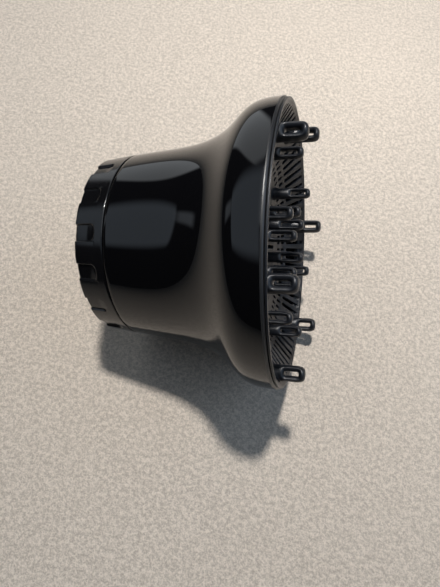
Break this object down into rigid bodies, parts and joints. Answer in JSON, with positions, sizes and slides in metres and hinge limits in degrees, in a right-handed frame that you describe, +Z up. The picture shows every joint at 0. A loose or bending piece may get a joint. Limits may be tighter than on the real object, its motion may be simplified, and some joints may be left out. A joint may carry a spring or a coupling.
{
  "type": "dryer diffuser",
  "caption": "Bell-shaped hair dryer diffuser with a slotted, pronged bowl face and a scalloped twist collar whose inner jaws clamp the dryer's nozzle.",
  "frame": {"origin": "centre of the base of the part's bounding box, on the surface that the part lies on", "axes": "+Z up; the part lies on its side, resting on the collar's rear edge and the bell's rim; +X towards the pronged face, with the airflow axis in the XZ plane rising 15.8 degrees towards +X; Y across the bell"},
  "size_m": [0.1448, 0.1576, 0.1538],
  "materials": {
    "gloss_black": "polished injection-moulded plastic",
    "satin_black": "satin moulded plastic",
    "inner_grey": "plain moulded nylon",
    "seal_rubber": "soft heat-resistant silicone rubber",
    "spring_steel": "plain bright steel"
  },
  "bodies": {
    "root": {"body_shell": "gloss_black", "cam_hub": "inner_grey", "friction_o_ring": "seal_rubber", "hub_screw_1": "spring_steel", "hub_screw_2": "spring_steel", "hub_screw_3": "spring_steel", "diffuser_face": "satin_black"},
    "collar": {"collar_ring": "gloss_black", "collar_snap_ring": "spring_steel", "jaw_pin_1": "spring_steel", "jaw_pin_2": "spring_steel", "jaw_pin_3": "spring_steel", "jaw_pin_4": "spring_steel", "jaw_pin_5": "spring_steel", "jaw_pin_6": "spring_steel"},
    "jaw_1": {"clamp_jaw_1": "inner_grey", "jaw_pad_1": "seal_rubber"},
    "jaw_2": {"clamp_jaw_2": "inner_grey", "jaw_pad_2": "seal_rubber"},
    "jaw_3": {"clamp_jaw_3": "inner_grey", "jaw_pad_3": "seal_rubber"},
    "jaw_4": {"clamp_jaw_4": "inner_grey", "jaw_pad_4": "seal_rubber"},
    "jaw_5": {"clamp_jaw_5": "inner_grey", "jaw_pad_5": "seal_rubber"},
    "jaw_6": {"clamp_jaw_6": "inner_grey", "jaw_pad_6": "seal_rubber"}
  },
  "joints": [
    {"name": "collar_twist", "type": "hinge", "parent": "root", "child": "collar", "pos_m": [-0.05851, 0, 0.04979], "axis": [0.9621, 0, 0.2726], "range_deg": [0, 45]},
    {"name": "jaw_1_swing", "type": "hinge", "parent": "collar", "child": "jaw_1", "pos_m": [-0.04088, 0, 0.00957], "axis": [0.9621, 0, 0.2726], "range_deg": [0, 22.05]},
    {"name": "jaw_2_swing", "type": "hinge", "parent": "collar", "child": "jaw_2", "pos_m": [-0.0468, 0.03767, 0.03049], "axis": [0.9621, 0, 0.2726], "range_deg": [0, 22.05]},
    {"name": "jaw_3_swing", "type": "hinge", "parent": "collar", "child": "jaw_3", "pos_m": [-0.05866, 0.03767, 0.07235], "axis": [0.9621, 0, 0.2726], "range_deg": [0, 22.05]},
    {"name": "jaw_4_swing", "type": "hinge", "parent": "collar", "child": "jaw_4", "pos_m": [-0.06459, 0, 0.09327], "axis": [0.9621, 0, 0.2726], "range_deg": [0, 22.05]},
    {"name": "jaw_5_swing", "type": "hinge", "parent": "collar", "child": "jaw_5", "pos_m": [-0.05866, -0.03767, 0.07235], "axis": [0.9621, 0, 0.2726], "range_deg": [0, 22.05]},
    {"name": "jaw_6_swing", "type": "hinge", "parent": "collar", "child": "jaw_6", "pos_m": [-0.0468, -0.03767, 0.03049], "axis": [0.9621, 0, 0.2726], "range_deg": [0, 22.05]}
  ],
  "couplings": [
    {"joint": "jaw_1_swing", "follows": "collar_twist", "ratio": 0.48889},
    {"joint": "jaw_2_swing", "follows": "collar_twist", "ratio": 0.48889},
    {"joint": "jaw_3_swing", "follows": "collar_twist", "ratio": 0.48889},
    {"joint": "jaw_4_swing", "follows": "collar_twist", "ratio": 0.48889},
    {"joint": "jaw_5_swing", "follows": "collar_twist", "ratio": 0.48889},
    {"joint": "jaw_6_swing", "follows": "collar_twist", "ratio": 0.48889}
  ]
}
